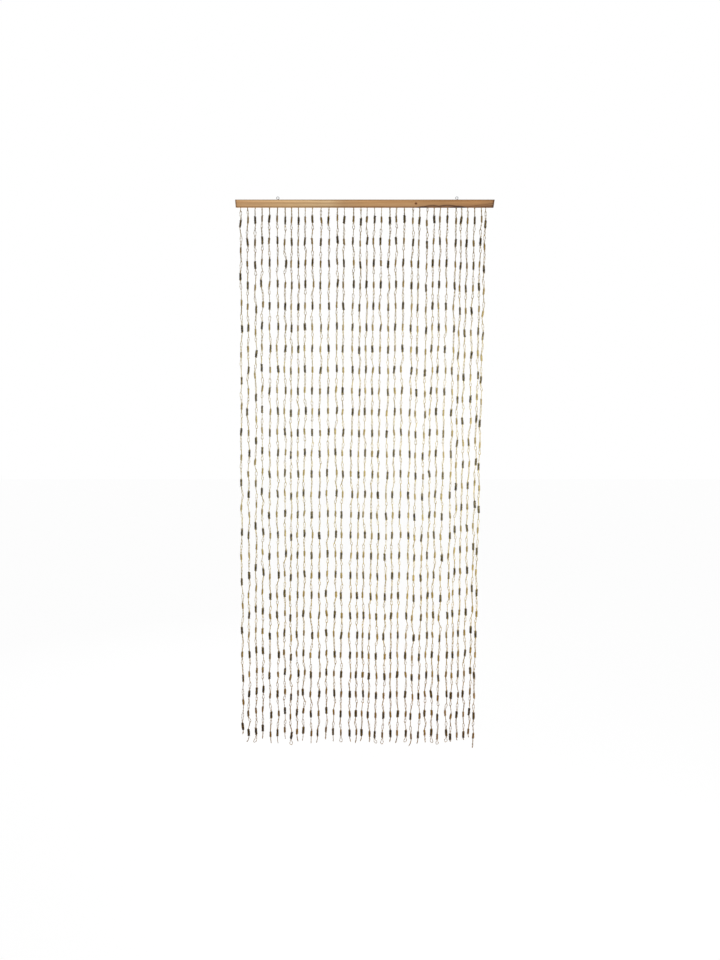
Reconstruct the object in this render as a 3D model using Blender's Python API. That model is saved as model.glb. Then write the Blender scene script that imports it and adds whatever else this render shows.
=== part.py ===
# Door curtain: knotted cord strings hung from a wooden rail
#
# Metres, +Z up. +X runs to the right along the rail and -Y faces the viewer. The origin is
# the middle of the line the curtain hangs from, between the inner tops of its two screw eyes.

import math
import random

import bmesh
import bpy
from mathutils import Vector

MM = 0.001

# Rail, with its two ends sawn a little off square
RAIL_LENGTH = 900 * MM
RAIL_HEIGHT = 27 * MM
RAIL_DEPTH = 14 * MM
RAIL_EDGE = 1.0 * MM
LEFT_END_INSET = 2 * MM
RIGHT_END_INSET = 4 * MM

# Screw eyes bent from plated wire
WIRE_THICKNESS = 1.9 * MM
EYE_RADIUS = 4.3 * MM
EYE_CLEARANCE = 0.35 * MM
EYE_ARC = math.radians(325)
EYE_STEPS = 14
EYE_SHANK = 12 * MM
EYE_PLACES = {"eye_left": -302 * MM, "eye_right": 319 * MM}

# Air between one piece and the next
GAP = 0.3 * MM

# Holes drilled in the rail
PILOT_RADIUS = 0.5 * WIRE_THICKNESS + 0.5 * MM
STRING_HOLE_WIDTH = 5.2 * MM
ROOT_DEPTH = 8 * MM

# Strings: each is a row of knots joined by loops of cord
STRING_SIDES = 3
ROOT_RADIUS = 2.2 * MM
NECK_DROP = 6 * MM
WAIST_RADIUS = 2.9 * MM
KNOTS = {
    "dark": {"length": 28 * MM, "radius": 5.0 * MM},
    "light": {"length": 23 * MM, "radius": 4.0 * MM},
}
WIDEST_HALF = KNOTS["dark"]["radius"] * math.sin(math.pi / STRING_SIDES)

# The end loop's two rings, by the share of its length that they lie down it
END_LOOP = (
    {"share": 0.6, "radius": 2.6 * MM},
    {"share": 1.0, "radius": 1.5 * MM},
)

# The strings hang a little to the left of plumb, and sway more towards their feet
STRING_LEAN = math.radians(0.55)
SWAY = 1.3 * MM
SWAY_GROWTH = 0.8
SWAY_LIMIT = 4.0 * MM
KNOT_TILT = math.radians(3)
SWAY_SEED = 71

# One row for each string from left to right, in millimetres. place is its hole along the
# rail. first and last are the drops from the rail's underside to the middles of its first
# and last knots. tail is the length of its free end loop, and swing how far that loop's tip
# lies to the right of the last knot.
STRING_COLUMNS = ("place", "first", "last", "knots", "tail", "swing")
STRING_ROWS = (
    (-432, 54, 1873, 21, 18, -2),
    (-408, 43, 1898, 26, 24, -8),
    (-381, 42, 1893, 25, 30, -8),
    (-358, 37, 1881, 26, 29, -2),
    (-331, 38, 1906, 26, 24, 2),
    (-303, 37, 1899, 26, 27, 2),
    (-277, 44, 1887, 26, 24, 2),
    (-255, 42, 1911, 26, 23, 1),
    (-231, 45, 1895, 26, 29, 4),
    (-207, 40, 1890, 26, 27, -3),
    (-181, 39, 1901, 26, 27, -1),
    (-152, 43, 1899, 26, 25, -4),
    (-124, 43, 1888, 26, 27, -1),
    (-95, 35, 1896, 26, 24, 1),
    (-72, 41, 1900, 26, 25, 0),
    (-39, 39, 1901, 26, 21, 4),
    (-14, 48, 1898, 26, 31, -4),
    (8, 39, 1899, 26, 21, -5),
    (33, 40, 1905, 26, 21, -1),
    (58, 40, 1906, 26, 21, 6),
    (87, 44, 1907, 26, 25, -2),
    (111, 38, 1903, 26, 19, -3),
    (137, 38, 1900, 26, 28, -6),
    (168, 44, 1901, 26, 21, -4),
    (190, 44, 1912, 26, 27, -9),
    (218, 52, 1908, 26, 21, -4),
    (241, 40, 1900, 26, 27, 2),
    (263, 40, 1898, 26, 28, 3),
    (288, 39, 1914, 26, 20, 0),
    (317, 46, 1899, 26, 23, -3),
    (336, 43, 1914, 25, 7, 1),
    (357, 44, 1908, 25, 10, 2),
    (381, 44, 1905, 25, 8, 1),
    (404, 39, 1894, 25, 13, 3),
    (419, 56, 1911, 25, 37, -2),
)

STRINGS = [dict(zip(STRING_COLUMNS, row)) for row in STRING_ROWS]

# Dark and light knots take turns. The first string starts dark and its neighbour light,
# and so on, but for the last string, whose turns slip by one below its fourth knot.
SLIPPED_STRING = len(STRINGS) - 1
SLIPPED_KNOT = 4

# Heights worked out from the sizes above
EYE_CENTRE_Z = -(EYE_RADIUS - 0.5 * WIRE_THICKNESS)
RAIL_TOP_Z = EYE_CENTRE_Z - EYE_RADIUS - 0.5 * WIRE_THICKNESS - EYE_CLEARANCE
RAIL_BOTTOM_Z = RAIL_TOP_Z - RAIL_HEIGHT


def clear_scene():
    for item in list(bpy.data.objects):
        bpy.data.objects.remove(item, do_unlink=True)


def make_material(name, colour, roughness, metallic=0.0):
    material = bpy.data.materials.new(name)
    material.use_nodes = True
    shader = material.node_tree.nodes["Principled BSDF"]
    shader.inputs["Base Color"].default_value = (*colour, 1.0)
    shader.inputs["Roughness"].default_value = roughness
    shader.inputs["Metallic"].default_value = metallic
    return material


def add_object(name, data, material):
    item = bpy.data.objects.new(name, data)
    if material:
        item.data.materials.append(material)
    bpy.context.scene.collection.objects.link(item)
    return item


def mesh_from(name, shape):
    bmesh.ops.recalc_face_normals(shape, faces=shape.faces)
    mesh = bpy.data.meshes.new(name)
    shape.to_mesh(mesh)
    shape.free()
    return mesh


def add_prism(shape, outline, offset):
    # close a flat outline into a prism that runs along the offset
    lower = [shape.verts.new(point) for point in outline]
    upper = [shape.verts.new(point + offset) for point in outline]
    shape.faces.new(lower)
    shape.faces.new(list(reversed(upper)))
    for index in range(len(outline)):
        following = (index + 1) % len(outline)
        shape.faces.new((lower[index], lower[following], upper[following], upper[index]))


def ring_points(centre, radius, sides, turn):
    points = []
    for side in range(sides):
        angle = turn + math.tau * side / sides
        points.append(centre + Vector((math.sin(angle), math.cos(angle), 0.0)) * radius)
    return points


def build_holes():
    # the cutter: a square hole for every string and a pilot hole for every screw eye
    shape = bmesh.new()
    overshoot = 2 * MM
    for row in STRINGS:
        mouth = Vector((row["place"] * MM, 0.0, RAIL_BOTTOM_Z - overshoot))
        square = ring_points(mouth, STRING_HOLE_WIDTH / math.sqrt(2), 4, math.radians(45))
        add_prism(shape, square, Vector((0.0, 0.0, overshoot + ROOT_DEPTH + GAP)))
    for place in EYE_PLACES.values():
        mouth = Vector((place, 0.0, RAIL_TOP_Z + overshoot))
        hexagon = ring_points(mouth, PILOT_RADIUS, 6, 0.0)
        add_prism(shape, hexagon, Vector((0.0, 0.0, -overshoot - EYE_SHANK - GAP)))
    holes = add_object("rail_holes", mesh_from("rail_holes", shape), None)
    holes.hide_render = True
    holes.display_type = "WIRE"
    return holes


def build_rail(material):
    half_length = 0.5 * RAIL_LENGTH
    front = -0.5 * RAIL_DEPTH
    outline = [
        Vector((-half_length, front, RAIL_TOP_Z)),
        Vector((-half_length + LEFT_END_INSET, front, RAIL_BOTTOM_Z)),
        Vector((half_length - RIGHT_END_INSET, front, RAIL_BOTTOM_Z)),
        Vector((half_length, front, RAIL_TOP_Z)),
    ]
    shape = bmesh.new()
    add_prism(shape, outline, Vector((0.0, RAIL_DEPTH, 0.0)))
    rail = add_object("rail", mesh_from("rail", shape), material)

    edges = rail.modifiers.new("edges", "BEVEL")
    edges.width = RAIL_EDGE
    edges.segments = 1
    drilling = rail.modifiers.new("drilling", "BOOLEAN")
    drilling.operation = "DIFFERENCE"
    drilling.solver = "EXACT"
    drilling.object = build_holes()
    return rail


def build_eye(name, place, material):
    # up the shank, then round the ring until the wire's end is just short of the shank
    route = [
        Vector((place, 0.0, RAIL_TOP_Z - EYE_SHANK)),
        Vector((place, 0.0, RAIL_TOP_Z - 0.5 * EYE_SHANK)),
    ]
    for step in range(EYE_STEPS + 1):
        angle = math.radians(-90) + EYE_ARC * step / EYE_STEPS
        reach = Vector((math.cos(angle), 0.0, math.sin(angle))) * EYE_RADIUS
        route.append(Vector((place, 0.0, EYE_CENTRE_Z)) + reach)

    curve = bpy.data.curves.new(name, "CURVE")
    curve.dimensions = "3D"
    curve.bevel_depth = 0.5 * WIRE_THICKNESS
    curve.bevel_resolution = 1
    curve.use_fill_caps = True
    spline = curve.splines.new("POLY")
    spline.points.add(len(route) - 1)
    for point, position in zip(spline.points, route):
        point.co = (*position, 1.0)
    return add_object(name, curve, material)


def knot_kind(string, knot):
    turns = string + knot
    if string == SLIPPED_STRING and knot >= SLIPPED_KNOT:
        turns += 1
    return "light" if turns % 2 else "dark"


def room_beside(string):
    # how far a string may sway and still clear its nearer neighbour
    place = STRINGS[string]["place"]
    others = [row["place"] for row in STRINGS if row["place"] != place]
    nearest = min(abs(other - place) for other in others) * MM
    return min(SWAY_LIMIT, 0.5 * nearest - WIDEST_HALF - GAP)


def held_within(value, limit):
    return max(-limit, min(limit, value))


def string_rings(string):
    # the string's rings from its root down, each with its middle and its radius
    row = STRINGS[string]
    chance = random.Random(SWAY_SEED + string)
    room = room_beside(string)
    rings = []

    def add_ring(drop, radius, side=0.0, depth=0.0):
        x = row["place"] * MM - drop * math.tan(STRING_LEAN) + held_within(side, room)
        y = held_within(depth, SWAY_LIMIT)
        rings.append((Vector((x, y, RAIL_BOTTOM_Z - drop)), radius))

    add_ring(-ROOT_DEPTH, ROOT_RADIUS)
    add_ring(NECK_DROP, ROOT_RADIUS)

    spacing = (row["last"] - row["first"]) / (row["knots"] - 1) * MM
    for knot in range(row["knots"]):
        size = KNOTS[knot_kind(string, knot)]
        drop = row["first"] * MM + spacing * knot
        sway = SWAY * (1.0 + SWAY_GROWTH * knot / (row["knots"] - 1))
        if knot > 0:
            waist_drop = drop - 0.5 * spacing
            add_ring(waist_drop, WAIST_RADIUS, chance.gauss(0.0, sway), chance.gauss(0.0, sway))
        side = chance.gauss(0.0, sway)
        depth = chance.gauss(0.0, sway)
        side_tilt = 0.5 * size["length"] * math.tan(chance.gauss(0.0, KNOT_TILT))
        depth_tilt = 0.5 * size["length"] * math.tan(chance.gauss(0.0, KNOT_TILT))
        add_ring(drop - 0.5 * size["length"], size["radius"], side + side_tilt, depth + depth_tilt)
        add_ring(drop + 0.5 * size["length"], size["radius"], side - side_tilt, depth - depth_tilt)

    foot = rings[-1][0]
    for ring in END_LOOP:
        swing = ring["share"] ** 2 * row["swing"] * MM
        drop = ring["share"] * row["tail"] * MM
        rings.append((foot + Vector((swing, 0.0, -drop)), ring["radius"]))
    return rings


def build_string(string, material):
    # every other string turns its flat side to the back, so both faces look alike
    name = f"string_{string + 1:02d}"
    turn = math.pi * (string % 2)
    shape = bmesh.new()
    courses = []
    for middle, radius in string_rings(string):
        corners = ring_points(middle, radius, STRING_SIDES, turn)
        courses.append([shape.verts.new(corner) for corner in corners])
    shape.faces.new(courses[0])
    shape.faces.new(list(reversed(courses[-1])))
    for upper, lower in zip(courses, courses[1:]):
        for side in range(STRING_SIDES):
            following = (side + 1) % STRING_SIDES
            shape.faces.new((upper[side], upper[following], lower[following], lower[side]))
    mesh = mesh_from(name, shape)
    mesh.shade_smooth()
    return add_object(name, mesh, material)


def main():
    clear_scene()
    wood = make_material("pale_wood", (0.62, 0.40, 0.20), 0.55)
    zinc = make_material("zinc_wire", (0.55, 0.56, 0.58), 0.35, metallic=1.0)
    cord = make_material("natural_cord", (0.76, 0.64, 0.45), 0.75)
    build_rail(wood)
    for name, place in EYE_PLACES.items():
        build_eye(name, place, zinc)
    for string in range(len(STRINGS)):
        build_string(string, cord)


main()
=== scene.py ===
# Knotted cord door curtain on a wooden rail: the looks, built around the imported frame
import math
import random

import bmesh
import bpy
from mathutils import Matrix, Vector


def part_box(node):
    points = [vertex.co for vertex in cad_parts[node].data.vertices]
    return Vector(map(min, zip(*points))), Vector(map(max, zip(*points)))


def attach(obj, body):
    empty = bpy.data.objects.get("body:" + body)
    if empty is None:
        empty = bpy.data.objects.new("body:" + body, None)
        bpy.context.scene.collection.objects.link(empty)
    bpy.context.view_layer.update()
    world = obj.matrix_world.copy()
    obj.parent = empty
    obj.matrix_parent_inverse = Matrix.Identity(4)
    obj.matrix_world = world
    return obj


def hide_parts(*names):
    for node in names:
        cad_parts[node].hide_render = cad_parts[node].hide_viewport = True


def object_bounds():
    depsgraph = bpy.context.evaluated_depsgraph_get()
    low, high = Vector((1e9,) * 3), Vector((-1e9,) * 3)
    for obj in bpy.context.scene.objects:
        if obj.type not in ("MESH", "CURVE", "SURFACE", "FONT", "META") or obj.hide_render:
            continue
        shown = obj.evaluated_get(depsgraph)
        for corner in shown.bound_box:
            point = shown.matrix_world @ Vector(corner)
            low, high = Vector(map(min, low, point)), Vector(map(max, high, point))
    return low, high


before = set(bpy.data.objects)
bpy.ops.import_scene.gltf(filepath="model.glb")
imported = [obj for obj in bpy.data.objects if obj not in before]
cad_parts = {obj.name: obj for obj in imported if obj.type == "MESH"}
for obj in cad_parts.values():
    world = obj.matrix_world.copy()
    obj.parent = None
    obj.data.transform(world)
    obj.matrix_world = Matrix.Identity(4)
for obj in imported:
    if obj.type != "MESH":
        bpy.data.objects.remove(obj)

cadLow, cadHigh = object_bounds()
mm = 0.001
stringNames = sorted(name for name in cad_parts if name.startswith("string_"))
railLow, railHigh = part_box("rail")
print(f"frame: {len(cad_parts)} nodes, {len(stringNames)} strings")


# helpers for node trees and meshes

def feed(tree, value, socket):
    # a socket is linked, and a plain value is typed in
    if isinstance(value, bpy.types.NodeSocket):
        tree.links.new(value, socket)
    else:
        socket.default_value = value


def placeNode(tree, kind, feeds=None, **settings):
    node = tree.nodes.new(kind)
    for name, value in settings.items():
        setattr(node, name, value)
    for socket, value in (feeds or {}).items():
        feed(tree, value, node.inputs[socket])
    return node


def mathIn(tree):
    # hands back calc, which adds a math node to this tree
    def calc(operation, *values):
        node = tree.nodes.new("ShaderNodeMath")
        node.operation = operation
        for value, socket in zip(values, node.inputs):
            feed(tree, value, socket)
        return node.outputs[0]
    return calc


def vectorMath(tree, operation, first, second=None, scale=None):
    node = placeNode(tree, "ShaderNodeVectorMath", operation=operation)
    for value, socket in ((first, 0), (second, 1), (scale, "Scale")):
        if value is not None:
            feed(tree, value, node.inputs[socket])
    return node.outputs["Vector"]


def joinVector(tree, x=0.0, y=0.0, z=0.0):
    return placeNode(tree, "ShaderNodeCombineXYZ", {"X": x, "Y": y, "Z": z}).outputs["Vector"]


def splitVector(tree, vector):
    return placeNode(tree, "ShaderNodeSeparateXYZ", {"Vector": vector}).outputs


def newMaterial(name, baseColour, roughness):
    # the plain values are what shows where a pattern can't be followed
    material = bpy.data.materials.new(name)
    material.use_nodes = True
    shader = material.node_tree.nodes["Principled BSDF"]
    shader.inputs["Base Color"].default_value = (*baseColour, 1.0)
    shader.inputs["Roughness"].default_value = roughness
    material.diffuse_color = (*baseColour, 1.0)
    return material, material.node_tree, shader


def colourRamp(tree, factor, stops):
    ramp = tree.nodes.new("ShaderNodeValToRGB")
    while len(ramp.color_ramp.elements) < len(stops):
        ramp.color_ramp.elements.new(0.5)
    for element, (place, colour) in zip(ramp.color_ramp.elements, stops):
        element.position = place
        element.color = (*colour, 1.0)
    feed(tree, factor, ramp.inputs["Fac"])
    return ramp.outputs["Color"]


def multiplyColours(tree, amount, first, second):
    node = placeNode(tree, "ShaderNodeMix", data_type="RGBA", blend_type="MULTIPLY")
    for value, index in ((amount, 0), (first, 6), (second, 7)):
        feed(tree, (*value, 1.0) if isinstance(value, tuple) else value, node.inputs[index])
    return node.outputs[2]


def tintBy(tree, colour, factor, layer):
    # the colour multiplied by a ramp, as far as the layer's amount says
    amount, stops = layer
    return multiplyColours(tree, amount, colour, colourRamp(tree, factor, stops))


def addNoise(tree, vector, detail, scale=1.0, roughness=0.5):
    noise = placeNode(tree, "ShaderNodeTexNoise", {"Vector": vector, "Scale": scale, "Detail": detail,
                                                   "Roughness": roughness})
    return noise.outputs["Fac"]


def addRoughness(tree, shader, factor, low, high):
    # the middle of a noise's range, spread from one roughness to the other
    spread = placeNode(tree, "ShaderNodeMapRange", {"Value": factor, "From Min": 0.3, "From Max": 0.7,
                                                    "To Min": low, "To Max": high})
    feed(tree, spread.outputs["Result"], shader.inputs["Roughness"])


def addBump(tree, shader, height, strength, distance):
    bump = placeNode(tree, "ShaderNodeBump", {"Height": height, "Strength": strength, "Distance": distance})
    feed(tree, bump.outputs["Normal"], shader.inputs["Normal"])


def addPiece(name, mesh, material=None):
    piece = bpy.data.objects.new(name, mesh)
    bpy.context.scene.collection.objects.link(piece)
    if material:
        mesh.materials.clear()
        mesh.materials.append(material)
    return piece


# camera: fitted to the photo's perspective, 720 by 960
cameraSet = {
    "place": (-0.017, -4.0, -0.442),
    "pitchDown": 7.81,          # degrees
    "focalPixels": 1125,
    "frameHeight": 960,
    "sensor": 36.0,
}


def makeCamera(setting):
    data = bpy.data.cameras.new("camera")
    data.sensor_width = setting["sensor"]
    data.lens = setting["focalPixels"] * setting["sensor"] / setting["frameHeight"]
    data.clip_end = 60.0
    camera = bpy.data.objects.new("camera", data)
    camera.location = setting["place"]
    camera.rotation_euler = (math.radians(90.0 - setting["pitchDown"]), 0.0, 0.0)
    bpy.context.scene.collection.objects.link(camera)
    bpy.context.scene.camera = camera


makeCamera(cameraSet)
print("camera set")


# stage: a wide pale floor well below the strings, a white surround and two soft lights
stageSet = {
    "floorDrop": 0.22,          # under the lowest string
    "reach": 9.0,
    "floorTone": (0.05, 0.05, 0.05),
    "floorGlow": 0.94,          # a light table: white to its edge, and no brighter than the surround
    "surroundSeen": 1.0,
    "surroundLight": 0.40,
    "lights": (
        {"name": "softKey", "place": (0.9, -1.5, -0.95), "aim": (0.0, 0.0, -0.95),
         "size": 1.1, "power": 38.0},
        {"name": "softBack", "place": (-1.3, 2.2, -0.4), "aim": (0.0, 0.0, -0.9),
         "size": 1.4, "power": 22.0},
    ),
}


def makeFloor(setting):
    height = cadLow.z - setting["floorDrop"]
    reach = setting["reach"]
    corners = [(x * reach, y * reach, height) for x, y in ((-1, -1), (1, -1), (1, 1), (-1, 1))]
    mesh = bpy.data.meshes.new("floor")
    mesh.from_pydata(corners, [], [(0, 1, 2, 3)])
    paint, tree, shader = newMaterial("floorPaint", setting["floorTone"], 0.9)
    shader.inputs["Emission Color"].default_value = (1.0, 1.0, 1.0, 1.0)
    shader.inputs["Emission Strength"].default_value = setting["floorGlow"]
    addPiece("floor", mesh, paint)


def makeSurround(setting):
    # the camera sees plain white, and a little less than that lights the curtain
    world = bpy.data.worlds.new("surround")
    bpy.context.scene.world = world
    world.use_nodes = True
    tree = world.node_tree
    lit = tree.nodes["Background"]
    lit.inputs["Color"].default_value = (1.0, 1.0, 1.0, 1.0)
    lit.inputs["Strength"].default_value = setting["surroundLight"]
    seen = placeNode(tree, "ShaderNodeBackground", {"Color": (1.0, 1.0, 1.0, 1.0),
                                                    "Strength": setting["surroundSeen"]})
    rays = tree.nodes.new("ShaderNodeLightPath")
    mix = placeNode(tree, "ShaderNodeMixShader", {0: rays.outputs["Is Camera Ray"],
                                                  1: lit.outputs[0], 2: seen.outputs[0]})
    feed(tree, mix.outputs[0], tree.nodes["World Output"].inputs["Surface"])


def makeLights(setting):
    for light in setting["lights"]:
        data = bpy.data.lights.new(light["name"], "AREA")
        data.energy = light["power"]
        data.size = light["size"]
        lamp = bpy.data.objects.new(light["name"], data)
        lamp.location = light["place"]
        lamp.rotation_euler = (Vector(light["aim"]) - lamp.location).to_track_quat("-Z", "Y").to_euler()
        bpy.context.scene.collection.objects.link(lamp)


makeFloor(stageSet)
makeSurround(stageSet)
makeLights(stageSet)
bpy.context.scene.view_settings.view_transform = "Standard"
print("floor, surround and lights set")


# what the frame says about each string

ringSet = {
    "knotEndRadius": 3.4 * mm,       # a ring wider than this is a knot's end
    "darkLength": 25.5 * mm,         # a knot longer than this is a dark one
}


def readString(name):
    # a plain strand's rings lie flat, so its points gather on levels
    levels = {}
    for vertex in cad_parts[name].data.vertices:
        levels.setdefault(round(vertex.co.z, 5), []).append(vertex.co)
    rings = []
    for height in sorted(levels, reverse=True):
        points = levels[height]
        middle = sum(points, Vector()) / len(points)
        rings.append((middle, max((point - middle).length for point in points)))
    knots = []
    waists = []
    index = 2
    while index < len(rings) - 2:
        if rings[index][1] > ringSet["knotEndRadius"]:
            top, bottom = rings[index][0], rings[index + 1][0]
            isDark = (top - bottom).length > ringSet["darkLength"]
            knots.append({"top": top, "bottom": bottom, "dark": isDark})
            index += 2
        else:
            waists.append(rings[index][0])
            index += 1
    return {"root": rings[0][0], "knots": knots, "waists": waists,
            "tailMiddle": rings[-2][0], "tip": rings[-1][0]}


stringPlans = {name: readString(name) for name in stringNames}
print(f"strings read: {sum(len(plan['knots']) for plan in stringPlans.values())} knots")


# small steps that the node trees share

def pickMarked(tree, source, name, value):
    # the points whose whole-number mark has this value
    mark = placeNode(tree, "GeometryNodeInputNamedAttribute", {"Name": name}, data_type="INT")
    same = placeNode(tree, "FunctionNodeCompare", {2: mark.outputs["Attribute"], 3: value},
                     data_type="INT", operation="EQUAL")
    picked = placeNode(tree, "GeometryNodeSeparateGeometry",
                       {"Geometry": source, "Selection": same.outputs["Result"]}, domain="POINT")
    return picked.outputs["Selection"]


def storeValue(tree, geometry, name, kind, value):
    node = placeNode(tree, "GeometryNodeStoreNamedAttribute",
                     {"Geometry": geometry, "Name": name, "Value": value}, data_type=kind, domain="POINT")
    return node.outputs["Geometry"]


def readValue(tree, name):
    node = placeNode(tree, "GeometryNodeInputNamedAttribute", {"Name": name}, data_type="FLOAT")
    return node.outputs["Attribute"]


def startTree(name, numbers):
    tree = bpy.data.node_groups.new(name, "GeometryNodeTree")
    tree.interface.new_socket("Geometry", in_out="INPUT", socket_type="NodeSocketGeometry")
    for label in numbers:
        tree.interface.new_socket(label, in_out="INPUT", socket_type="NodeSocketFloat")
    tree.interface.new_socket("Material", in_out="INPUT", socket_type="NodeSocketMaterial")
    tree.interface.new_socket("Geometry", in_out="OUTPUT", socket_type="NodeSocketGeometry")
    group = tree.nodes.new("NodeGroupInput")
    return tree, {socket.name: socket for socket in group.outputs if socket.name}


def endTree(tree, geometry, material):
    real = placeNode(tree, "GeometryNodeRealizeInstances", {"Geometry": geometry})
    finish = placeNode(tree, "GeometryNodeSetMaterial", {"Geometry": real.outputs["Geometry"],
                                                         "Material": material})
    placeNode(tree, "NodeGroupOutput", {"Geometry": finish.outputs["Geometry"]})


def growPiece(name, source, tree, values, replaced):
    # run the tree on the source, keep its result as a plain mesh and drop the source
    modifier = source.modifiers.new(tree.name, "NODES")
    modifier.node_group = tree
    for item in tree.interface.items_tree:
        if item.item_type == "SOCKET" and item.in_out == "INPUT" and item.name in values:
            modifier[item.identifier] = values[item.name]
    bpy.context.view_layer.update()
    mesh = bpy.data.meshes.new_from_object(source.evaluated_get(bpy.context.evaluated_depsgraph_get()))
    before = source.data
    bpy.data.objects.remove(source)
    bpy.data.meshes.remove(before)
    mesh.name = name
    piece = addPiece(name, mesh)
    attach(piece, "root")
    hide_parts(replaced)
    return piece


# rail: a planed softwood batten with soft arrises, drilled for the strings and the screw eyes

railSet = {
    "endInsets": (2.0 * mm, 4.0 * mm),      # left and right ends lean in towards the underside
    "arris": 1.3 * mm,
    "endArris": 0.5 * mm,
    "stringHole": {"radius": 2.7 * mm, "depth": 8.3 * mm, "sides": 14},
    "pilotHole": {"radius": 1.4 * mm, "depth": 12.3 * mm, "sides": 12},
    "cutterProud": 2.0 * mm,                # a hole's cutter starts this far outside the wood
}
woodSet = {
    # tones along the rail from its left end to its right, as (share, colour)
    "tones": [
        (0.00, (0.567, 0.343, 0.172)), (0.22, (0.565, 0.378, 0.197)), (0.36, (0.527, 0.371, 0.206)),
        (0.42, (0.407, 0.248, 0.121)), (0.50, (0.424, 0.247, 0.112)), (0.66, (0.385, 0.220, 0.099)),
        (0.80, (0.300, 0.161, 0.065)), (0.93, (0.315, 0.163, 0.066)), (1.00, (0.235, 0.125, 0.056)),
    ],
    # layers over the tones, as (amount, tints)
    "growth": (0.85, [(0.36, (0.66, 0.56, 0.46)), (0.50, (1.0, 1.0, 1.0)), (0.66, (1.10, 1.08, 1.04))]),
    "fibre": (0.6, [(0.30, (0.70, 0.62, 0.54)), (0.58, (1.06, 1.05, 1.04))]),
    "heart": (1.0, [(0.0, (0.22, 0.13, 0.07)), (0.36, (0.28, 0.17, 0.10)), (0.54, (0.74, 0.62, 0.50)),
                    (0.80, (1.0, 1.0, 1.0))]),
    # tints up the front and back, painted light and shade: darker at the rounded bottom and top arrises and
    # over the lower half of the face, brighter over its upper part
    "face": [(0.0, (0.50, 0.46, 0.42)), (0.12, (0.64, 0.60, 0.54)), (0.20, (0.82, 0.81, 0.79)),
             (0.32, (0.89, 0.89, 0.90)), (0.45, (0.90, 0.90, 0.90)), (0.58, (1.00, 1.00, 0.99)),
             (0.70, (1.16, 1.15, 1.12)), (0.86, (1.18, 1.18, 1.18)), (0.93, (0.84, 0.86, 0.90)),
             (1.0, (0.60, 0.60, 0.62))],
    "faceShadeDepth": 3.0 * mm,
    "endTints": ((0.38, 0.34, 0.30), (0.34, 0.26, 0.20)),       # sawn ends, left and right
    "endWidth": 6.0 * mm,
    # how fine the patterns are along, through and up the rail
    "wanderScale": (7.0, 40.0, 30.0),
    "growthScale": (1.2, 60.0, 330.0),
    "fibreScale": (28.0, 1700.0, 1700.0),
    "wander": 9.0 * mm,                     # how far a growth line drifts up and down
    "shake": 0.16,                          # the same for a vein, as a share of the rail's height
    "branchKnot": (0.177, 0.50),            # along the rail, and up it as a share of its height
    "branchKnotReach": (4.0 * mm, 0.125),
    "parting": 2.6 * mm,                    # how far the grain parts round the branch knot
    # a dark vein that arches along the underside: each arch's middle along the rail, half length, height as
    # a share of the rail's, and how far it is filled in below
    "arches": ((0.204, 0.017, 0.10, 0.9), (0.234, 0.036, 0.24, 0.15), (0.287, 0.044, 0.27, 0.15),
               (0.320, 0.026, 0.15, 0.9)),
    "veinWidth": 0.13,
    "veinTint": (0.19, 0.11, 0.055),
    # two paler veins that climb to the right end from here, and how far the second lies below the first
    "climb": {"from": 0.30, "crosses": 0.335, "slope": 4.6, "below": 0.26, "widths": (0.09, 0.10)},
    "climbTint": (0.62, 0.56, 0.52),
    "shine": (0.62, 0.46),                  # roughness of early and late growth
    "gloss": 0.18,
    "bump": (0.35, 0.25 * mm),              # strength and height
}


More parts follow.
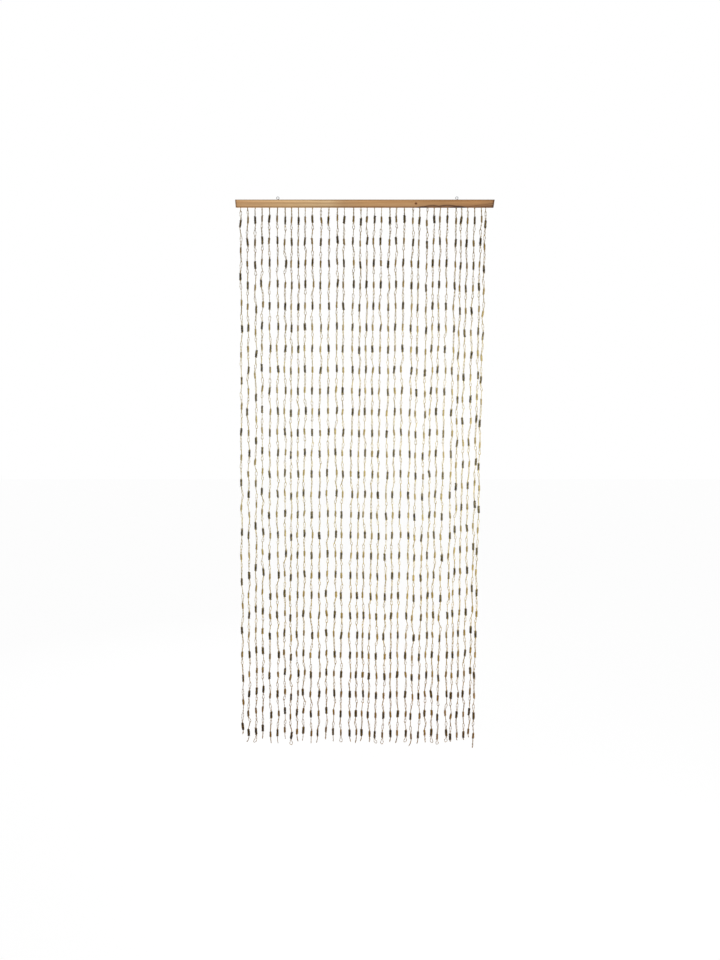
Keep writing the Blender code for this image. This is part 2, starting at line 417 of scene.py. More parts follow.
def woodMaterial():
    material, tree, shader = newMaterial("oiledPine", (0.37, 0.22, 0.11), 0.55)
    calc = mathIn(tree)
    x, y, z = splitVector(tree, tree.nodes.new("ShaderNodeTexCoord").outputs["Object"])
    railHeight = railHigh.z - railLow.z
    share = calc("MULTIPLY_ADD", x, 1.0 / (railHigh.x - railLow.x), 0.5)
    rise = calc("MULTIPLY_ADD", z, 1.0 / railHeight, -railLow.z / railHeight)

    def soften(distance, width):
        # 1 on the line, 0 at its width
        away = calc("DIVIDE", calc("ABSOLUTE", distance), width)
        return calc("SUBTRACT", 1.0, calc("SMOOTH_MIN", 1.0, away, 0.25))

    def drawnOut(height, scaleX, scaleY, scaleZ):
        # places for a noise that is drawn out along the rail
        return joinVector(tree, calc("MULTIPLY", x, scaleX), calc("MULTIPLY", y, scaleY),
                          calc("MULTIPLY", height, scaleZ))

    # distance from the branch knot, and the grain that parts round it
    aside = calc("DIVIDE", calc("SUBTRACT", x, woodSet["branchKnot"][0]), woodSet["branchKnotReach"][0])
    above = calc("DIVIDE", calc("SUBTRACT", rise, woodSet["branchKnot"][1]), woodSet["branchKnotReach"][1])
    apart = calc("SQRT", calc("ADD", calc("MULTIPLY", aside, aside), calc("MULTIPLY", above, above)))
    near = calc("EXPONENT", calc("MULTIPLY", apart, -0.55))
    parted = calc("SUBTRACT", z, calc("MULTIPLY", calc("MULTIPLY", above, near), woodSet["parting"]))

    # long wandering growth lines, and fine fibre between them
    wander = addNoise(tree, drawnOut(z, *woodSet["wanderScale"]), 2.0)
    bent = calc("MULTIPLY_ADD", wander, woodSet["wander"], parted)
    growth = addNoise(tree, drawnOut(bent, *woodSet["growthScale"]), 3.0, roughness=0.6)
    fibre = addNoise(tree, drawnOut(bent, *woodSet["fibreScale"]), 5.0, roughness=0.7)
    colour = colourRamp(tree, share, woodSet["tones"])
    colour = tintBy(tree, colour, growth, woodSet["growth"])
    colour = tintBy(tree, colour, fibre, woodSet["fibre"])

    # the arches join into one vein, and the two paler ones climb right of them
    shaky = calc("MULTIPLY_ADD", growth, woodSet["shake"], -0.5 * woodSet["shake"])
    streak, over = 0.0, 1.0
    for middle, halfLength, height, filled in woodSet["arches"]:
        fromPeak = calc("DIVIDE", calc("SUBTRACT", x, middle), halfLength)
        arch = calc("MULTIPLY_ADD", calc("MULTIPLY", fromPeak, fromPeak), -height, height)
        overArch = calc("SUBTRACT", calc("MULTIPLY_ADD", shaky, 0.4, rise), arch)
        streak = calc("MAXIMUM", calc("MULTIPLY", calc("LESS_THAN", overArch, 0.0), filled), streak)
        over = calc("MINIMUM", overArch, over)
    streak = calc("MAXIMUM", soften(over, woodSet["veinWidth"]), streak)
    colour = multiplyColours(tree, streak, colour, woodSet["veinTint"])
    climb = woodSet["climb"]
    slope = calc("MULTIPLY", calc("SUBTRACT", x, climb["crosses"]), climb["slope"])
    level = calc("SUBTRACT", calc("ADD", rise, shaky), slope)
    veins = calc("MAXIMUM", soften(level, climb["widths"][0]),
                 soften(calc("ADD", level, climb["below"]), climb["widths"][1]))
    onRight = calc("GREATER_THAN", x, climb["from"])
    colour = multiplyColours(tree, calc("MULTIPLY", veins, onRight), colour, woodSet["climbTint"])
    colour = tintBy(tree, colour, calc("MULTIPLY", apart, 0.5), woodSet["heart"])

    # painted light and shade on the front and back faces, and the sawn ends
    # painted shade at the arrises and painted light higher up, kept to the front and back faces
    faceShadeMask = soften(calc("SUBTRACT", calc("ABSOLUTE", y), railHigh.y), woodSet["faceShadeDepth"])
    colour = tintBy(tree, colour, rise, (faceShadeMask, woodSet["face"]))
    leftInset, rightInset = railSet["endInsets"]
    for end, inset, tint in ((railLow.x, leftInset, woodSet["endTints"][0]),
                             (railHigh.x, -rightInset, woodSet["endTints"][1])):
        leaning = calc("MULTIPLY_ADD", rise, -inset, end + 1.5 * inset)
        nearEnd = soften(calc("SUBTRACT", x, leaning), woodSet["endWidth"])
        colour = multiplyColours(tree, nearEnd, colour, tint)
    feed(tree, colour, shader.inputs["Base Color"])
    addRoughness(tree, shader, growth, *woodSet["shine"])
    shader.inputs["Specular IOR Level"].default_value = woodSet["gloss"]
    addBump(tree, shader, calc("ADD", fibre, calc("MULTIPLY", growth, 1.5)), *woodSet["bump"])
    return material


def railBlank():
    # the batten, and loose points marked 1 or 2 where it is drilled from below and from above
    leftInset, rightInset = railSet["endInsets"]
    outline = [(railLow.x, railHigh.z), (railLow.x + leftInset, railLow.z),
               (railHigh.x - rightInset, railLow.z), (railHigh.x, railHigh.z)]
    shape = bmesh.new()
    front = [shape.verts.new((x, railLow.y, z)) for x, z in outline]
    back = [shape.verts.new((x, railHigh.y, z)) for x, z in outline]
    shape.faces.new(front)
    shape.faces.new(list(reversed(back)))
    for index in range(4):
        following = (index + 1) % 4
        shape.faces.new((front[index], back[index], back[following], front[following]))
    bmesh.ops.recalc_face_normals(shape, faces=shape.faces)
    longEdges = [edge for edge in shape.edges if edge.calc_length() > 0.5]
    bmesh.ops.bevel(shape, geom=longEdges, offset=railSet["arris"], segments=3, profile=0.5, affect="EDGES")
    ends = [face for face in shape.faces if abs(face.normal.x) > 0.9]
    endEdges = list({edge for face in ends for edge in face.edges})
    bmesh.ops.bevel(shape, geom=endEdges, offset=railSet["endArris"], segments=2, profile=0.5, affect="EDGES")
    for face in shape.faces:
        face.smooth = max(abs(part) for part in face.normal) < 0.995
    drill = shape.verts.layers.int.new("drill")
    proud = railSet["cutterProud"]
    for plan in stringPlans.values():
        depth = railSet["stringHole"]["depth"]
        point = shape.verts.new((plan["root"].x, 0.0, railLow.z + 0.5 * (depth - proud)))
        point[drill] = 1
    for name in ("eye_left", "eye_right"):
        low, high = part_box(name)
        depth = railSet["pilotHole"]["depth"]
        point = shape.verts.new((0.5 * (low.x + high.x), 0.0, railHigh.z - 0.5 * (depth - proud)))
        point[drill] = 2
    mesh = bpy.data.meshes.new("railBlank")
    shape.to_mesh(mesh)
    shape.free()
    return addPiece("railBlank", mesh)


def railTree():
    tree, inputs = startTree("drilledRail", ("String Hole Radius", "String Hole Depth",
                                             "Pilot Hole Radius", "Pilot Hole Depth"))
    calc = mathIn(tree)
    drilled = placeNode(tree, "GeometryNodeMeshBoolean", operation="DIFFERENCE", solver="EXACT")
    feed(tree, pickMarked(tree, inputs["Geometry"], "drill", 0), drilled.inputs["Mesh 1"])
    for mark, label, key in ((1, "String Hole", "stringHole"), (2, "Pilot Hole", "pilotHole")):
        cutter = placeNode(tree, "GeometryNodeMeshCylinder", {
            "Vertices": railSet[key]["sides"], "Radius": inputs[f"{label} Radius"],
            "Depth": calc("ADD", inputs[f"{label} Depth"], railSet["cutterProud"])}, fill_type="NGON")
        points = pickMarked(tree, inputs["Geometry"], "drill", mark)
        holes = placeNode(tree, "GeometryNodeInstanceOnPoints", {"Points": points,
                                                                 "Instance": cutter.outputs["Mesh"]})
        feed(tree, holes.outputs["Instances"], drilled.inputs["Mesh 2"])
    endTree(tree, drilled.outputs["Mesh"], inputs["Material"])
    return tree


def makeRail():
    stringHole, pilotHole = railSet["stringHole"], railSet["pilotHole"]
    piece = growPiece("drilledRail", railBlank(), railTree(), {
        "String Hole Radius": stringHole["radius"], "String Hole Depth": stringHole["depth"],
        "Pilot Hole Radius": pilotHole["radius"], "Pilot Hole Depth": pilotHole["depth"],
        "Material": woodMaterial(),
    }, "rail")
    piece.data.set_sharp_from_angle(angle=math.radians(40))


makeRail()
print("rail made")


# screw eyes: one length of zinc plated wire each, bent into an eye above its shank

eyeSet = {
    "wireThickness": 1.9 * mm,
    "eyeRadius": 4.3 * mm,
    "arc": 325.0,                  # degrees of wire round the eye
    "arcSteps": 40,
    "shank": 12.0 * mm,
    "pointLength": 1.2 * mm,
    "pointShare": 0.25,            # the point's radius, as a share of the wire's
    "threadShare": 0.75,           # how much of the shank is threaded
    "threadPitch": 1.1 * mm,
    "threadDepth": 0.28 * mm,
    "threadSteps": 6,              # rings in one turn of the thread
    "runOut": 0.4 * mm,            # from the thread's end to plain wire
    "snippedEnd": 0.15 * mm,       # the wire's other end is slightly rounded
    "snippedShare": 0.75,
    "sides": 14,
    "tones": [(0.35, (0.19, 0.195, 0.20)), (0.65, (0.33, 0.335, 0.35))],
    "shine": (0.28, 0.5),          # roughness from one end of the clouding to the other
    "cloudScale": 320.0,
    "grainScale": 1500.0,
    "bump": (0.25, 0.05 * mm),
}


def zincMaterial():
    material, tree, shader = newMaterial("zincPlate", (0.27, 0.275, 0.285), 0.38)
    place = tree.nodes.new("ShaderNodeTexCoord").outputs["Object"]
    cloud = addNoise(tree, place, 4.0, scale=eyeSet["cloudScale"], roughness=0.6)
    feed(tree, colourRamp(tree, cloud, eyeSet["tones"]), shader.inputs["Base Color"])
    addRoughness(tree, shader, cloud, *eyeSet["shine"])
    addBump(tree, shader, addNoise(tree, place, 3.0, scale=eyeSet["grainScale"]), *eyeSet["bump"])
    shader.inputs["Metallic"].default_value = 1.0
    return material


def sweepRings(shape, route, sides, sideLine):
    # rings of points square to the route, skinned and capped
    rings = []
    for index, (point, radius) in enumerate(route):
        before = route[max(index - 1, 0)][0]
        after = route[min(index + 1, len(route) - 1)][0]
        along = (after - before).normalized()
        across = sideLine.cross(along).normalized()
        ring = []
        for side in range(sides):
            angle = math.tau * side / sides
            reach = radius(angle) if callable(radius) else radius
            outward = across * math.cos(angle) + sideLine * math.sin(angle)
            ring.append(shape.verts.new(point + outward * reach))
        rings.append(ring)
    for lower, upper in zip(rings, rings[1:]):
        for side in range(sides):
            following = (side + 1) % sides
            shape.faces.new((lower[side], lower[following], upper[following], upper[side]))
    shape.faces.new(list(reversed(rings[0])))
    shape.faces.new(rings[-1])


def makeEye(name, pieceName, material):
    low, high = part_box(name)
    wire = 0.5 * eyeSet["wireThickness"]
    radius, pitch = eyeSet["eyeRadius"], eyeSet["threadPitch"]
    place = Vector((high.x - radius - wire, 0.0, 0.0))
    centre = place + Vector((0.0, 0.0, high.z - radius - wire))

    def threaded(turn):
        # a ridge that winds up the shank
        def reach(angle):
            return wire - eyeSet["threadDepth"] * (0.5 + 0.5 * math.cos(angle - turn))
        return reach

    route = [(place + Vector((0.0, 0.0, low.z)), eyeSet["pointShare"] * wire)]
    threadTop = low.z + eyeSet["threadShare"] * eyeSet["shank"]
    height = low.z + eyeSet["pointLength"]
    while height < threadTop:
        route.append((place + Vector((0.0, 0.0, height)), threaded(math.tau * height / pitch)))
        height += pitch / eyeSet["threadSteps"]
    route.append((place + Vector((0.0, 0.0, threadTop + eyeSet["runOut"])), wire))
    for step in range(eyeSet["arcSteps"] + 1):
        angle = math.radians(-90.0 + eyeSet["arc"] * step / eyeSet["arcSteps"])
        route.append((centre + Vector((math.cos(angle), 0.0, math.sin(angle))) * radius, wire))
    end, along = route[-1][0], (route[-1][0] - route[-2][0]).normalized()
    route.append((end + along * eyeSet["snippedEnd"], eyeSet["snippedShare"] * wire))

    shape = bmesh.new()
    sweepRings(shape, route, eyeSet["sides"], Vector((0.0, 1.0, 0.0)))
    bmesh.ops.recalc_face_normals(shape, faces=shape.faces)
    for face in shape.faces:
        face.smooth = len(face.verts) == 4
    mesh = bpy.data.meshes.new(pieceName)
    shape.to_mesh(mesh)
    shape.free()
    piece = addPiece(pieceName, mesh, material)
    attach(piece, "root")
    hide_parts(name)


zincPlate = zincMaterial()
makeEye("eye_left", "leftScrewEye", zincPlate)
makeEye("eye_right", "rightScrewEye", zincPlate)
print("screw eyes made")


# strings: cord loops hooked one into the next, with strand wrapped into a knot round each pair

cordSet = {
    "radius": 1.32 * mm,
    "flatness": 0.62,                # its narrow way across, as a share of the wide one
    "sides": 4,
    "step": 2.7 * mm,                # between rings of the cord
    "twistLength": 22.0 * mm,
    "legGap": 1.2 * mm,              # a leg's middle from the loop's middle, at the knot
    "loopHalfWidth": 3.1 * mm,
    "openWidths": (0.9, 1.15),       # shares of it, for loops that lie open to the front
    "edgeOnWidths": (0.7, 1.0),      # and for those seen edge on
    "hookShare": 0.44,               # the hook's place between two knots
    "tuckedIn": 4.0 * mm,            # how far a loop's legs run into the knot
    "unevenness": 0.28 * mm,
    "fullerFoot": 0.42,              # the cord is this much stouter at the foot, where it is handled
    "fullerPower": 3,                # and how late down the drop that comes
    "longestTopLoop": 31.0 * mm,
    "holeHalfWidth": 1.15 * mm,
    "holeLoopHalfWidth": 2.3 * mm,   # of the loop that hangs from the hole to the first hook
    "firstHookShare": 0.7,
    "openTails": {3, 8, 15, 20, 21, 24, 28, 29, 30},     # strings whose last loop hangs open to the front
    "openTailHalfWidth": 4.8 * mm,
    "hookSpread": 1.0 * mm,          # uneven heights of the hooks
    "openShare": 0.45,               # how many of the upper loops lie open
    "angleSpread": 0.55,             # radians that a loop is turned out of its plane
    "leanSpread": 0.10,
    "girths": (0.88, 1.14),
    "dyeSpread": 0.14,
    "seed": 5,
}
wrapSet = {
    "turnSteps": 8,
    "acrossPoints": 5,               # from one edge of a strand, over its back, to the other
    # a knot is two strands wound side by side: their shares of its height and thickness, and their dyes
    "dark": {"turns": 5.6, "length": 25.0 * mm, "radius": 2.82 * mm, "depth": 1.5 * mm,
             "shares": (0.80, 0.20), "proud": (1.0, 0.7), "dyes": (1.0, 0.03), "dyeSpread": 0.1},
    "light": {"turns": 3.8, "length": 20.0 * mm, "radius": 2.4 * mm, "depth": 1.3 * mm,
              "shares": (0.5, 0.5), "proud": (1.0, 0.95), "dyes": (0.20, 0.50), "dyeSpread": 0.22},
    "fullerFoot": 0.16,
    "girthSpread": 0.07,
    "dip": 1.3 * mm,                 # how far a strand's ends tuck in
    "dipPower": 36.0,                # and how near the knot's end that starts
    "core": 0.3 * mm,                # the legs bound inside stand this much above the strands' edges
    "coreSides": 8,
    "coreEnd": 0.5,                  # and draw in to this share where they leave the knot
    "coreTaper": 2.2 * mm,
    # the core's dye is darker than the legs it stands for: painted shade where it shows between the strands
    "coreShadeDye": 0.5,
    "swell": 2.3 * mm,
    "swellScale": 95.0,
    "wander": 1.6 * mm,
    "wanderScale": 150.0,
}
straySet = {
    "radius": 0.34 * mm,
    "perKnot": 3,
    "sides": 3,
    "length": 4.5 * mm,
    "lengthShares": (0.5, 1.0),
    "rootShares": (0.75, 0.95),      # where it leaves the knot, from the knot's middle to its end
    "curl": 0.35,
    "girths": [1.7, 1.2, 0.5],
    "darkShare": 0.6,                # how many at a dark knot are of the dark strand
    "dyeSpread": 0.35,
}
marks = {"loop": 0, "dark": 1, "light": 2, "stray": 3}


def newPaths():
    return {"points": [], "edges": [], "mark": [], "girth": [], "dye": [], "spin": [], "tone": []}


def addPath(paths, points, mark, girth=1.0, dye=0.0, spin=0.0, tone=0.5):
    start = len(paths["points"])
    count = len(points)
    girths = girth if isinstance(girth, list) else [girth] * count
    fuller = (wrapSet if mark in wrapSet else cordSet)["fullerFoot"]
    drops = [max((railLow.z - point.z) / (railLow.z - cadLow.z), 0.0) for point in points]
    paths["points"].extend(points)
    paths["edges"].extend((start + step, start + step + 1) for step in range(count - 1))
    paths["mark"].extend([marks[mark]] * count)
    fullness = [1.0 + fuller * drop ** cordSet["fullerPower"] for drop in drops]
    paths["girth"].extend(girth * full for girth, full in zip(girths, fullness))
    for label, value in (("dye", dye), ("spin", spin), ("tone", tone)):
        paths[label].extend([value] * count)


def pathsToMesh(paths, name):
    mesh = bpy.data.meshes.new(name)
    mesh.from_pydata(paths["points"], paths["edges"], [])
    mesh.attributes.new("mark", "INT", "POINT").data.foreach_set("value", paths["mark"])
    for label in ("girth", "dye", "spin", "tone"):
        mesh.attributes.new(label, "FLOAT", "POINT").data.foreach_set("value", paths[label])
    return mesh


def sideways(angle):
    return Vector((math.cos(angle), math.sin(angle), 0.0))


def addLoop(paths, start, end, angle, halfWidth, chance, sag=None, neck=None):
    # down one leg, round the bend at the end and back up the other leg
    along = end - start
    length = along.length
    across, outward = sideways(angle), sideways(angle + math.pi / 2)
    neck = neck or cordSet["legGap"]
    lean = chance.gauss(0.0, cordSet["leanSpread"]) * halfWidth
    wider = halfWidth - neck
    # (share of the way to the hook, distance from the loop's middle line)
    legs = ((-cordSet["tuckedIn"] / length, 0.85 * neck), (0.0, neck), (0.22, neck + 0.16 * wider),
            (0.44, neck + 0.52 * wider), (0.66, halfWidth), (0.85, 0.88 * halfWidth))
    bend = ((0.955, 0.52 * halfWidth), (1.0, 0.0), (0.955, -0.52 * halfWidth))

    def pointAt(share, aside, rough):
        inside = max(share, 0.0)
        bow = 4.0 * inside * (1.0 - inside)
        point = start + along * share + across * (aside + lean * inside * (1.2 - inside))
        if sag:
            point += sag * bow
        if rough:
            point += across * chance.gauss(0.0, cordSet["unevenness"])
            point += outward * chance.gauss(0.0, cordSet["unevenness"])
        return point

    out = [pointAt(share, width, share > 0.1) for share, width in legs]
    turn = [pointAt(share, width, False) for share, width in bend]
    back = [pointAt(share, -width, share > 0.1) for share, width in reversed(legs)]
    points = out + turn + back
    addPath(paths, points, "loop", girth=[chance.uniform(*cordSet["girths"]) for _ in points],
            dye=chance.uniform(0.0, cordSet["dyeSpread"]), tone=chance.random())


def addKnot(paths, knot, chance):
    kind = "dark" if knot["dark"] else "light"
    setting = wrapSet[kind]
    middle = (knot["top"] + knot["bottom"]) * 0.5
    down = (knot["bottom"] - knot["top"]).normalized()
    half = 0.5 * setting["length"]
    inner = half - wrapSet["coreTaper"]
    girth = chance.gauss(1.0, wrapSet["girthSpread"])
    drawn = girth * wrapSet["coreEnd"]
    addPath(paths, [middle + down * reach for reach in (-half, -inner, inner, half)], kind,
            girth=[drawn, girth, girth, drawn], dye=chance.uniform(0.0, setting["dyeSpread"]),
            spin=chance.uniform(0.0, math.tau), tone=chance.random())
    radius = setting["radius"] + 0.5 * setting["depth"]
    for stray in range(straySet["perKnot"]):
        end = knot["top"] if chance.random() < 0.5 else knot["bottom"]
        rise = (end - middle).normalized()
        outward = sideways(chance.uniform(0.0, math.tau))
        curl = sideways(chance.uniform(0.0, math.tau)) * straySet["curl"]
        reach = straySet["length"] * chance.uniform(*straySet["lengthShares"])
        base = middle + (end - middle) * chance.uniform(*straySet["rootShares"])
        points = [base + outward * radius * 0.7,
                  base + outward * (radius + 0.25 * reach) + rise * 0.35 * reach,
                  base + outward * (radius + 0.45 * reach) + rise * 0.9 * reach + curl * reach]
        isDark = knot["dark"] and chance.random() < straySet["darkShare"]
        addPath(paths, points, "stray", girth=straySet["girths"],
                dye=1.0 if isDark else chance.uniform(0.0, straySet["dyeSpread"]), tone=chance.random())


def stringPaths(number, plan):
    chance = random.Random(cordSet["seed"] * 100 + number)
    paths = newPaths()
    contact = Vector((0.0, 0.0, cordSet["radius"]))
    knots = plan["knots"]
    for knot in knots:
        addKnot(paths, knot, chance)

    def loopWidth(seenOpen):
        shares = cordSet["openWidths" if seenOpen else "edgeOnWidths"]
        return cordSet["loopHalfWidth"] * chance.uniform(*shares)

    # between two knots the upper one's loop and the lower one's loop hook at right angles
    for upper, lower, waist in zip(knots, knots[1:], plan["waists"]):
        height = upper["bottom"].z + (lower["top"].z - upper["bottom"].z) * cordSet["hookShare"]
        hook = Vector((waist.x, waist.y, height + chance.gauss(0.0, cordSet["hookSpread"])))
        upperOpen = chance.random() < cordSet["openShare"]
        angle = chance.gauss(0.0, cordSet["angleSpread"]) + (0.0 if upperOpen else math.pi / 2)
        addLoop(paths, upper["bottom"], hook - contact, angle, loopWidth(upperOpen), chance)
        addLoop(paths, lower["top"], hook + contact, angle + math.pi / 2, loopWidth(not upperOpen), chance)

    # at the rail: straight into the hole, or on a short loop that comes out of it
    first = knots[0]["top"]
    inHole = plan["root"] - contact
    angle = chance.uniform(0.0, math.pi)
    if railLow.z - first.z > cordSet["longestTopLoop"]:
        hook = first + (Vector((inHole.x, inHole.y, railLow.z)) - first) * cordSet["firstHookShare"]
        addLoop(paths, first, hook + contact, angle, loopWidth(False), chance)
        addLoop(paths, inHole, hook - contact, angle + math.pi / 2, cordSet["holeLoopHalfWidth"], chance,
                neck=cordSet["holeHalfWidth"])
    else:
        addLoop(paths, first, inHole, angle, cordSet["holeHalfWidth"], chance)

    # the last loop hangs free
    foot = knots[-1]["bottom"]
    tip = plan["tip"] + contact
    sag = plan["tailMiddle"] - (foot + (plan["tip"] - foot) * 0.6)
    sag.z = 0.0
    if number in cordSet["openTails"]:
        angle, halfWidth = chance.uniform(-0.3, 0.3), cordSet["openTailHalfWidth"]
    else:
        angle, halfWidth = chance.uniform(0.9, 2.2), 0.8 * loopWidth(False)
    addLoop(paths, foot, tip, angle, halfWidth, chance, sag=sag)
    return pathsToMesh(paths, f"paths{number}")


# the tree that turns those paths into twisted cord and wrapped knots

def profileRing(tree, sides, radius, flatness=1.0):
    # a round or slightly flat profile whose points remember where they lie round the cord
    ring = placeNode(tree, "GeometryNodeCurvePrimitiveCircle", {"Resolution": sides, "Radius": 1.0},
                     mode="RADIUS")
    place = tree.nodes.new("GeometryNodeInputPosition")
    marked = storeValue(tree, ring.outputs["Curve"], "around", "FLOAT_VECTOR", place.outputs["Position"])
    narrow = mathIn(tree)("MULTIPLY", radius, flatness)
    sized = placeNode(tree, "GeometryNodeTransform", {"Geometry": marked,
                                                      "Scale": joinVector(tree, radius, narrow, radius)})
    return sized.outputs["Geometry"]


def sweepCord(tree, curve, profile):
    # keep the length run along each path, then give the path its thickness
    run = tree.nodes.new("GeometryNodeSplineParameter")
    curve = storeValue(tree, curve, "along", "FLOAT", run.outputs["Length"])
    sweep = placeNode(tree, "GeometryNodeCurveToMesh", {"Curve": curve, "Profile Curve": profile,
                                                        "Fill Caps": True})
    return sweep.outputs["Mesh"]


def cordCurves(tree, inputs, mark, isSmooth):
    # the marked paths as curves with their girth, smoothed and evenly stepped where asked
    calc = mathIn(tree)
    paths = pickMarked(tree, inputs["Geometry"], "mark", marks[mark])
    curve = placeNode(tree, "GeometryNodeMeshToCurve", {"Mesh": paths}).outputs["Curve"]
    if isSmooth:
        bowed = placeNode(tree, "GeometryNodeCurveSplineType", {"Curve": curve}, spline_type="CATMULL_ROM")
        even = placeNode(tree, "GeometryNodeResampleCurve",
                         {"Curve": bowed.outputs["Curve"], "Length": inputs["Cord Step"]}, mode="LENGTH")
        run = tree.nodes.new("GeometryNodeSplineParameter")
        turns = calc("DIVIDE", run.outputs["Length"], inputs["Twist Length"])
        twist = placeNode(tree, "GeometryNodeSetCurveTilt", {"Curve": even.outputs["Curve"],
                                                             "Tilt": calc("MULTIPLY", turns, math.tau)})
        curve = twist.outputs["Curve"]
    thick = placeNode(tree, "GeometryNodeSetCurveRadius", {"Curve": curve,
                                                           "Radius": readValue(tree, "girth")})
    return thick.outputs["Curve"]


def windStrand(tree, inputs, kind, order):
    # one strand wound along +Z from the origin: a flat grid bent round, with its edges inside the core
    calc = mathIn(tree)
    setting = wrapSet[kind]
    radius, depth, length = (inputs[f"{kind.capitalize()} {part}"] for part in ("Radius", "Depth", "Length"))
    grid = placeNode(tree, "GeometryNodeMeshGrid", {
        "Size X": 1.0, "Size Y": math.pi, "Vertices Y": wrapSet["acrossPoints"],
        "Vertices X": round(setting["turns"] * wrapSet["turnSteps"]) + 1})
    place = tree.nodes.new("GeometryNodeInputPosition")
    lengthwise, across, _ = splitVector(tree, place.outputs["Position"])
    run = calc("ADD", lengthwise, 0.5)
    outward, sideward = (calc(wave, across) for wave in ("COSINE", "SINE"))
    angle = calc("MULTIPLY_ADD", run, math.tau * setting["turns"], math.pi * order)
    thick = calc("MULTIPLY", depth, setting["proud"][order])
    nearEnd = calc("POWER", calc("ABSOLUTE", calc("MULTIPLY", lengthwise, 2.0)), wrapSet["dipPower"])
    reach = calc("SUBTRACT", calc("MULTIPLY_ADD", outward, thick, radius),
                 calc("MULTIPLY", nearEnd, wrapSet["dip"]))
    half = calc("MULTIPLY", length, 0.5 * setting["shares"][order] / setting["turns"])
    bent = joinVector(tree, calc("MULTIPLY", calc("COSINE", angle), reach),
                      calc("MULTIPLY", calc("SINE", angle), calc("MULTIPLY", reach, -1.0)),
                      calc("SUBTRACT", calc("MULTIPLY", run, length), calc("MULTIPLY", sideward, half)))
    strand = storeValue(tree, grid.outputs["Mesh"], "around", "FLOAT_VECTOR",
                        joinVector(tree, outward, sideward))
    strand = storeValue(tree, strand, "along", "FLOAT", calc("MULTIPLY", angle, radius))
    strand = storeValue(tree, strand, "strandDye", "FLOAT", setting["dyes"][order])
    wound = placeNode(tree, "GeometryNodeSetPosition", {"Geometry": strand, "Position": bent})
    return wound.outputs["Geometry"]


def wrapKnots(tree, inputs, kind):
    # both strands set at the head of each knot's axis and turned along it, over a core
    calc = mathIn(tree)
    axis = cordCurves(tree, inputs, kind, False)
    pair = tree.nodes.new("GeometryNodeJoinGeometry")
    for order in range(2):
        feed(tree, windStrand(tree, inputs, kind, order), pair.inputs["Geometry"])
    tangent = tree.nodes.new("GeometryNodeInputTangent").outputs["Tangent"]
    upright = placeNode(tree, "FunctionNodeAlignRotationToVector", {"Vector": tangent}, axis="Z")
    spin = joinVector(tree, 0.0, 0.0, readValue(tree, "spin"))
    turned = placeNode(tree, "FunctionNodeEulerToRotation", {"Euler": spin})
    rotation = placeNode(tree, "FunctionNodeRotateRotation", {
        "Rotation": upright.outputs["Rotation"], "Rotate By": turned.outputs["Rotation"]},
        rotation_space="LOCAL")
    head = placeNode(tree, "GeometryNodeCurveEndpointSelection", {"Start Size": 1, "End Size": 0})
    girth = calc("DIVIDE", readValue(tree, "girth"), wrapSet["coreEnd"])
    wraps = placeNode(tree, "GeometryNodeInstanceOnPoints", {
        "Points": axis, "Selection": head.outputs["Selection"], "Instance": pair.outputs["Geometry"],
        "Rotation": rotation.outputs["Rotation"], "Scale": joinVector(tree, girth, girth, 1.0)})
    real = placeNode(tree, "GeometryNodeRealizeInstances", {"Geometry": wraps.outputs["Instances"]})
    dyed = storeValue(tree, real.outputs["Geometry"], "dye", "FLOAT",
                      calc("ADD", readValue(tree, "strandDye"), readValue(tree, "dye")))

    # hand-wound: a strand swells and narrows on its way round, and strays a little
    ownPlace = calc("MULTIPLY", readValue(tree, "strandDye"), 7.0)
    uneven = placeNode(tree, "ShaderNodeTexNoise", {"W": ownPlace, "Scale": wrapSet["swellScale"],
                                                    "Detail": 1.0}, noise_dimensions="4D")
    amount = calc("MULTIPLY_ADD", uneven.outputs["Fac"], wrapSet["swell"], -0.5 * wrapSet["swell"])
    normal = tree.nodes.new("GeometryNodeInputNormal").outputs["Normal"]
    cloud = placeNode(tree, "ShaderNodeTexNoise", {"Scale": wrapSet["wanderScale"], "Detail": 1.0})
    centred = vectorMath(tree, "SUBTRACT", cloud.outputs["Color"], (0.5, 0.5, 0.5))
    offset = vectorMath(tree, "ADD", vectorMath(tree, "SCALE", centred, scale=wrapSet["wander"]),
                        vectorMath(tree, "SCALE", normal, scale=amount))
    moved = placeNode(tree, "GeometryNodeSetPosition", {"Geometry": dyed, "Offset": offset})
    coreRadius = calc("ADD", inputs[f"{kind.capitalize()} Radius"], wrapSet["core"])
    core = sweepCord(tree, axis, profileRing(tree, wrapSet["coreSides"], coreRadius))
    # the core's darker dye is painted shade where it shows between the strands
    return [moved.outputs["Geometry"], storeValue(tree, core, "dye", "FLOAT", wrapSet["coreShadeDye"])]


def stringTree():
    tree, inputs = startTree("knottedString", ("Cord Radius", "Cord Step", "Twist Length", "Stray Radius",
                                               "Dark Radius", "Dark Depth", "Dark Length",
                                               "Light Radius", "Light Depth", "Light Length"))
    loops = sweepCord(tree, cordCurves(tree, inputs, "loop", True),
                      profileRing(tree, cordSet["sides"], inputs["Cord Radius"], cordSet["flatness"]))
    strays = sweepCord(tree, cordCurves(tree, inputs, "stray", False),
                       profileRing(tree, straySet["sides"], inputs["Stray Radius"]))
    joined = tree.nodes.new("GeometryNodeJoinGeometry")
    for part in [loops, strays, *wrapKnots(tree, inputs, "dark"), *wrapKnots(tree, inputs, "light")]:
        feed(tree, part, joined.inputs["Geometry"])
    smooth = placeNode(tree, "GeometryNodeSetShadeSmooth", {"Geometry": joined.outputs["Geometry"]})
    endTree(tree, smooth.outputs["Geometry"], inputs["Material"])
    return tree


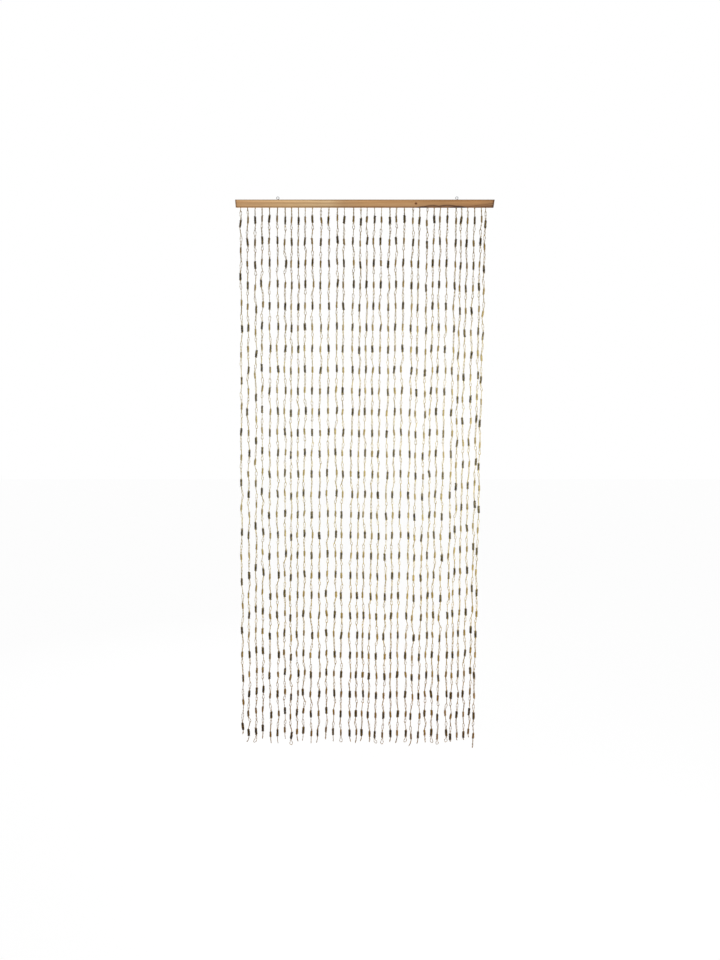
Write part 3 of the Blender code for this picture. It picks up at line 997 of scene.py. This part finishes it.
huskSet = {
    # undyed in two creams, straw, and the dark strand, as (dye, colour)
    "dyes": [(0.0, (0.56, 0.51, 0.37)), (0.08, (0.53, 0.470, 0.265)), (0.6, (0.285, 0.232, 0.100)),
             (0.85, (0.019, 0.016, 0.013))],
    # layers over the dye, as (amount, tints)
    # down the drop: painted shade under the rail at the top, painted brighter light over the middle, golden
    # and darker towards the feet
    "drops": (1.0, [(0.0, (0.64, 0.52, 0.31)), (0.10, (0.73, 0.61, 0.39)), (0.26, (1.22, 1.22, 1.10)),
                    (0.56, (1.22, 1.22, 1.08)), (0.74, (1.04, 0.89, 0.43)), (0.90, (0.67, 0.44, 0.15)),
                    (1.0, (0.62, 0.39, 0.13))]),
    "patches": (0.6, [(0.32, (0.58, 0.53, 0.44)), (0.66, (1.14, 1.13, 1.11))]),
    "tones": (0.5, [(0.0, (0.74, 0.70, 0.62)), (1.0, (1.12, 1.12, 1.12))]),
    "turns": (0.5, [(0.36, (0.72, 0.62, 0.48)), (0.60, (1.12, 1.12, 1.12))]),
    "fibres": (0.75, [(0.34, (0.56, 0.49, 0.40)), (0.60, (1.12, 1.10, 1.06))]),
    # painted shade in the creases between plies and between a knot's turns
    "grooveShade": (0.55, [(0.05, (0.45, 0.38, 0.30)), (0.45, (1.0, 1.0, 1.0))]),
    # how fine each pattern is
    "patchScale": 60.0,
    "turnScale": 55.0,
    "fibreScale": (3.4, 70.0),       # round the strand and along it
    "gloss": 0.22,
    "bump": (0.7, 0.35 * mm),
}


def cordMaterial():
    material, tree, shader = newMaterial("twistedHusk", (0.42, 0.34, 0.20), 0.7)
    calc = mathIn(tree)

    def reading(name, output="Fac"):
        return placeNode(tree, "ShaderNodeAttribute", attribute_name=name).outputs[output]

    # where a point lies round the strand and along it, so that fibres follow the strand
    aside, outward, _ = splitVector(tree, reading("around", "Vector"))
    along, tone = reading("along"), reading("tone")
    roundScale, alongScale = huskSet["fibreScale"]
    place = calc("MULTIPLY_ADD", tone, 37.0, calc("MULTIPLY", along, alongScale))
    onStrand = joinVector(tree, calc("MULTIPLY", aside, roundScale),
                          calc("MULTIPLY", outward, roundScale), place)
    fibres = addNoise(tree, onStrand, 5.0, roughness=0.68)
    turn = calc("MULTIPLY_ADD", tone, 53.0, calc("MULTIPLY", along, huskSet["turnScale"]))
    turnTone = placeNode(tree, "ShaderNodeTexNoise", {"W": turn, "Scale": 1.0, "Detail": 2.0},
                         noise_dimensions="1D")
    # 0 in the creases between two plies, where the groove layer paints shade
    plies = calc("ABSOLUTE", calc("COSINE", calc("ARCTAN2", outward, aside)))

    # slow change of tone from one stretch of a string to the next, and the share down the drop that places
    # the painted light and shade
    position = tree.nodes.new("ShaderNodeTexCoord").outputs["Object"]
    patches = addNoise(tree, position, 3.0, scale=huskSet["patchScale"])
    fullDrop = railLow.z - cadLow.z
    drop = calc("MULTIPLY_ADD", splitVector(tree, position)["Z"], -1.0 / fullDrop, railLow.z / fullDrop)

    colour = colourRamp(tree, reading("dye"), huskSet["dyes"])
    # the drops layer is painted shade under the rail and painted brighter light over the middle of the drop
    for factor, layer in ((drop, "drops"), (patches, "patches"), (tone, "tones"),
                          (turnTone.outputs["Fac"], "turns"), (fibres, "fibres"), (plies, "grooveShade")):
        colour = tintBy(tree, colour, factor, huskSet[layer])
    feed(tree, colour, shader.inputs["Base Color"])
    addBump(tree, shader, calc("ADD", calc("MULTIPLY", plies, 0.8), fibres), *huskSet["bump"])
    shader.inputs["Specular IOR Level"].default_value = huskSet["gloss"]
    return material


def makeStrings():
    tree = stringTree()
    sizes = {"Cord Radius": cordSet["radius"], "Cord Step": cordSet["step"],
             "Twist Length": cordSet["twistLength"], "Stray Radius": straySet["radius"],
             "Material": cordMaterial()}
    for kind in ("dark", "light"):
        for part in ("radius", "depth", "length"):
            sizes[f"{kind.capitalize()} {part.capitalize()}"] = wrapSet[kind][part]
    triangles = 0
    for number, name in enumerate(stringNames, start=1):
        source = addPiece(f"paths{number}", stringPaths(number, stringPlans[name]))
        piece = growPiece(f"knottedString{number:02d}", source, tree, sizes, name)
        triangles += sum(len(face.vertices) - 2 for face in piece.data.polygons)
    print(f"strings made: {triangles} triangles")


makeStrings()
